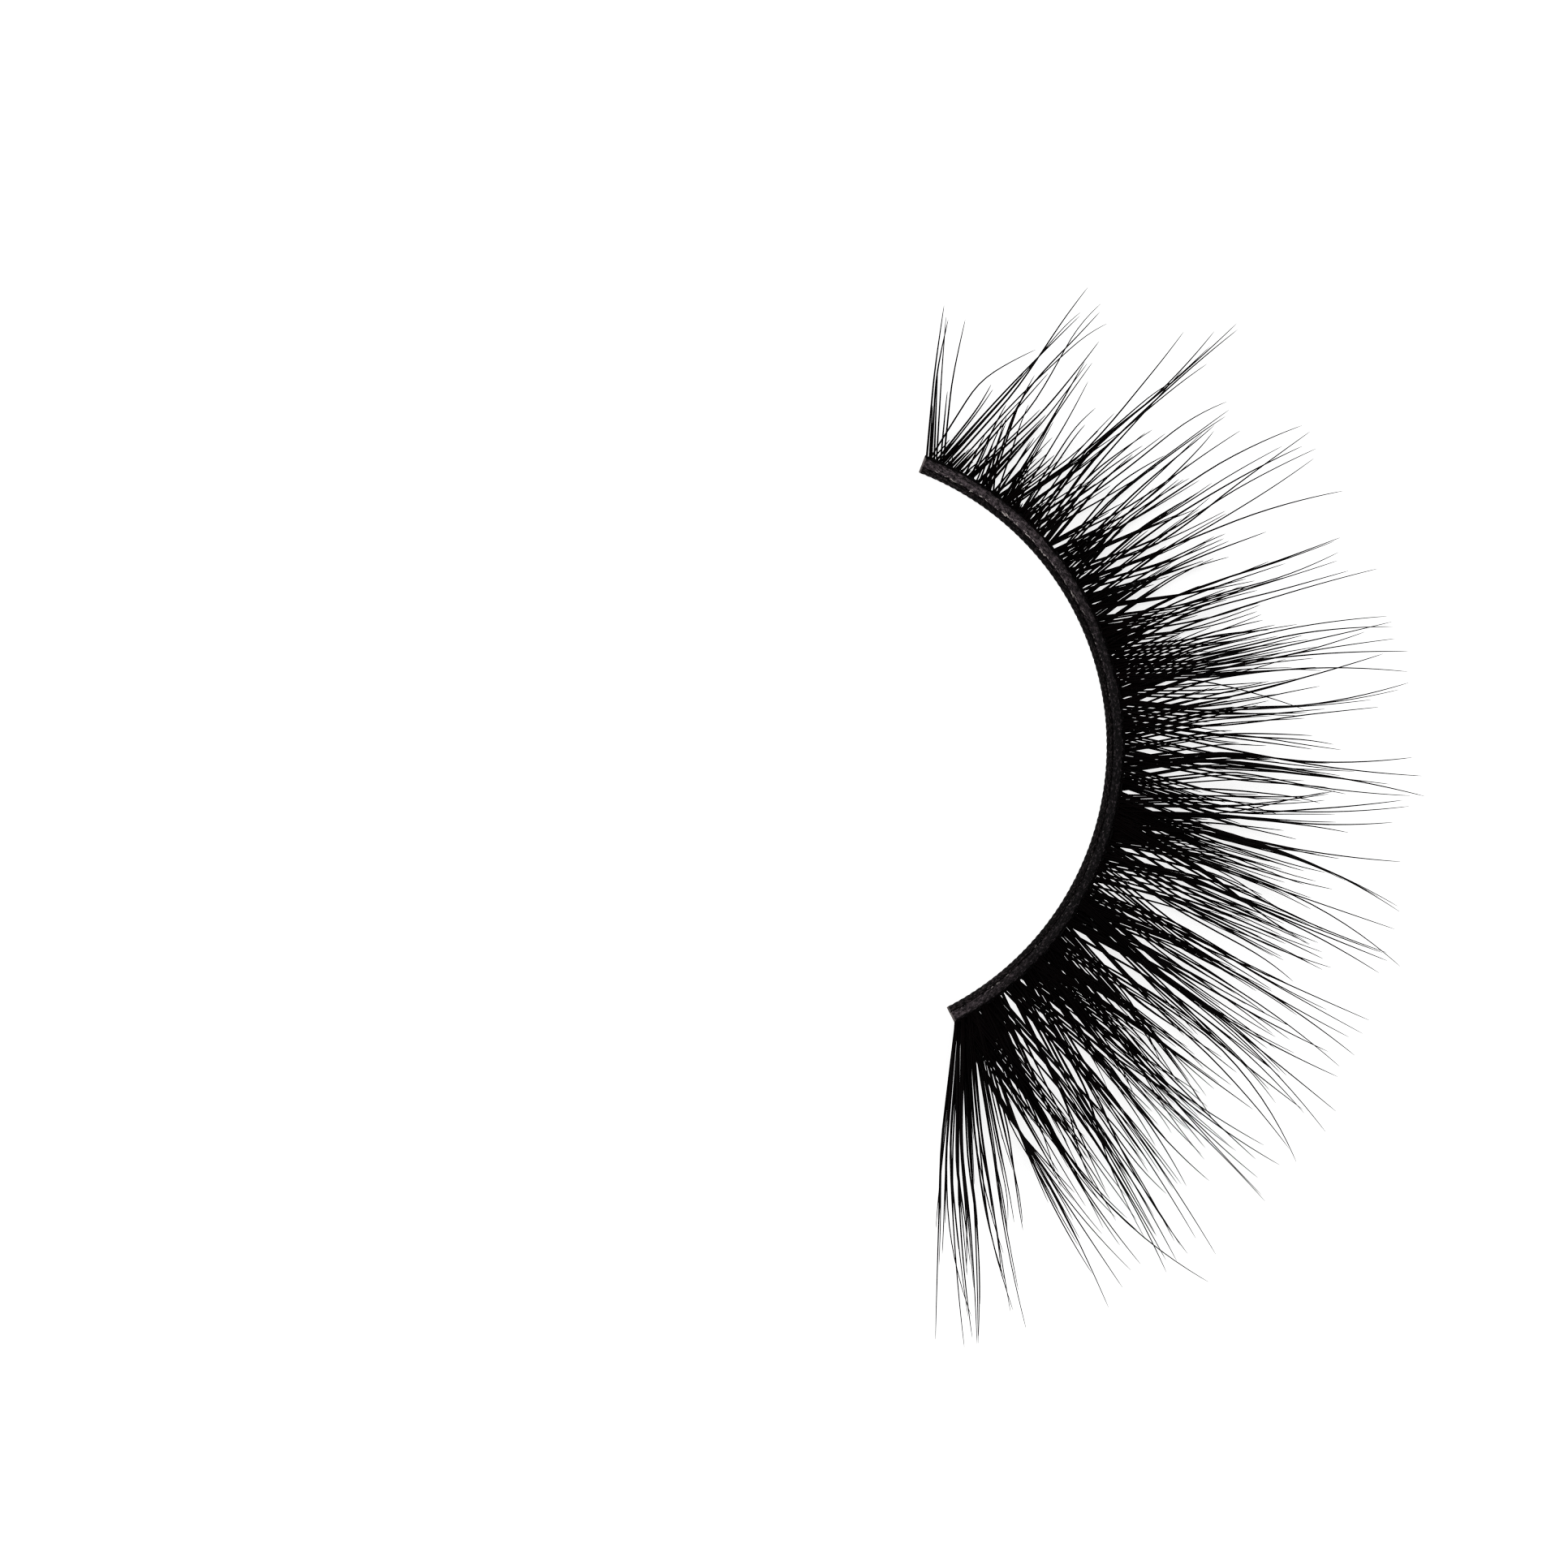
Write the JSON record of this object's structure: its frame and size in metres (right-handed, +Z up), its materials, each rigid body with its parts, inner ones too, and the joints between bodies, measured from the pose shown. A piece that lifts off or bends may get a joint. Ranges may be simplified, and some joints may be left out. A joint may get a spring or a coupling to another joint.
{
  "type": "false eyelash strip",
  "caption": "False eyelash strip: a thin curved band with stacked layers of tapered, crossing lash clusters that curl upwards and grow longer towards the outer corner.",
  "frame": {"origin": "on the underside of the root tape, at the middle of the band", "axes": "+X along the band's chord towards the inner corner of the eye, -Y the way the lashes point, +Z up, the way the lashes curl"},
  "size_m": [0.0497, 0.0245, 0.008],
  "materials": {
    "stem_thread": "black cotton thread under a thin film of dried glue",
    "root_tape": "satin dark grey, dried flexible glue over the lash roots",
    "lash_fibre": "black fine hair with a soft gloss"
  },
  "bodies": {
    "root": {"stem_thread": "stem_thread", "root_tape": "root_tape", "lash_layer_lower": "lash_fibre", "lash_layer_middle": "lash_fibre", "lash_layer_upper": "lash_fibre"}
  },
  "joints": []
}
